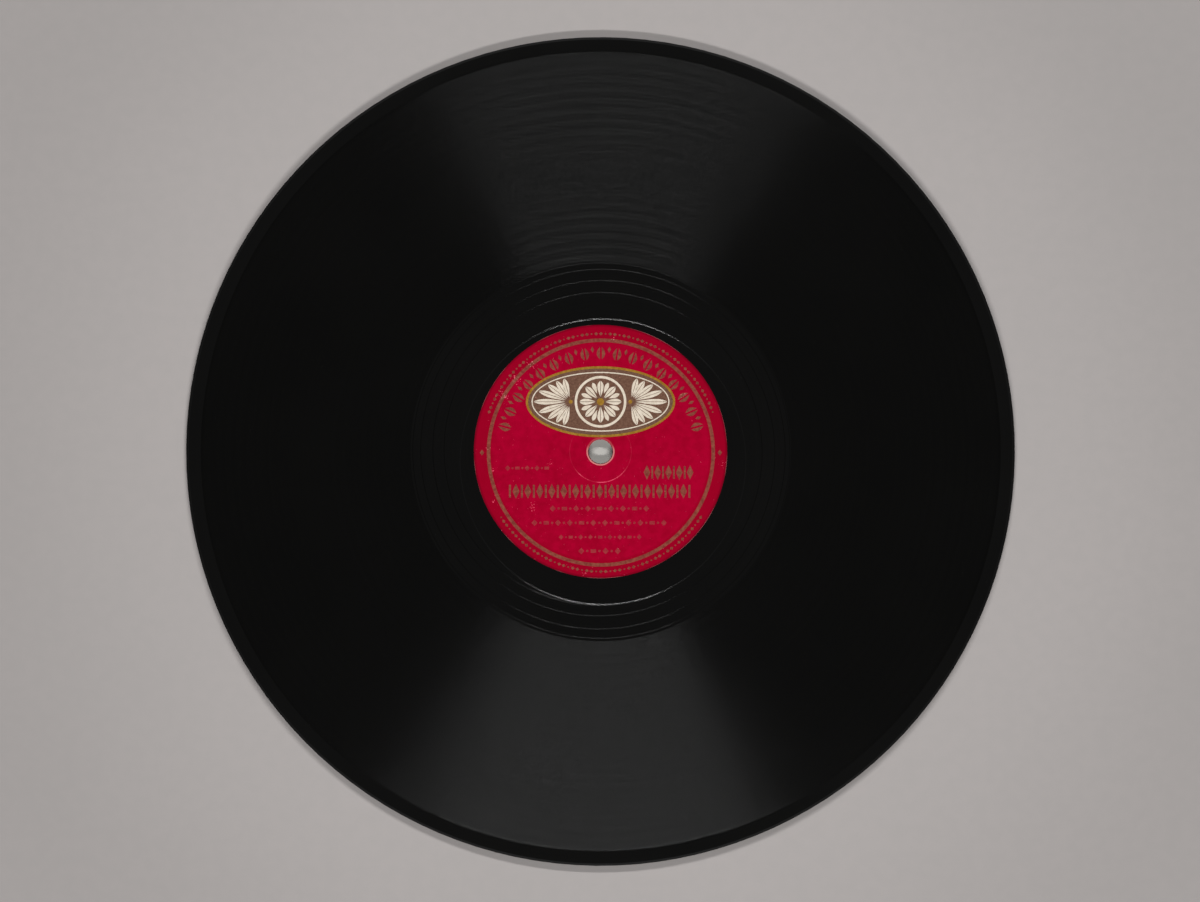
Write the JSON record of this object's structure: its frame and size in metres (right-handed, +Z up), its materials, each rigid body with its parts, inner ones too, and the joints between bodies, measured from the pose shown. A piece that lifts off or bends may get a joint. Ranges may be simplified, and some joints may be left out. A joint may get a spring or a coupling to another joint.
{
  "type": "shellac record",
  "caption": "Round flat gramophone record of pressed shellac, with a spindle hole, a grooved face and a paper label on each side, and a rounded rim.",
  "frame": {"origin": "on the spindle axis, level with the lower face", "axes": "+Z up along the spindle axis, out of side A; +Y to the top of the label on both sides"},
  "size_m": [0.25, 0.25, 0.0021],
  "materials": {
    "shellac": "gloss",
    "core_filler": "matte",
    "backing_paper": "matte",
    "label_paper": "satin",
    "bronze_ink": "satin",
    "brown_ink": "matte",
    "cream_ink": "matte",
    "gold_ink": "satin"
  },
  "bodies": {
    "root": {"core_disc": "core_filler", "backing_paper_side_a": "backing_paper", "backing_paper_side_b": "backing_paper", "shellac_face_side_a": "shellac", "shellac_face_side_b": "shellac", "label_side_a": "label_paper", "label_side_b": "label_paper"}
  },
  "joints": []
}
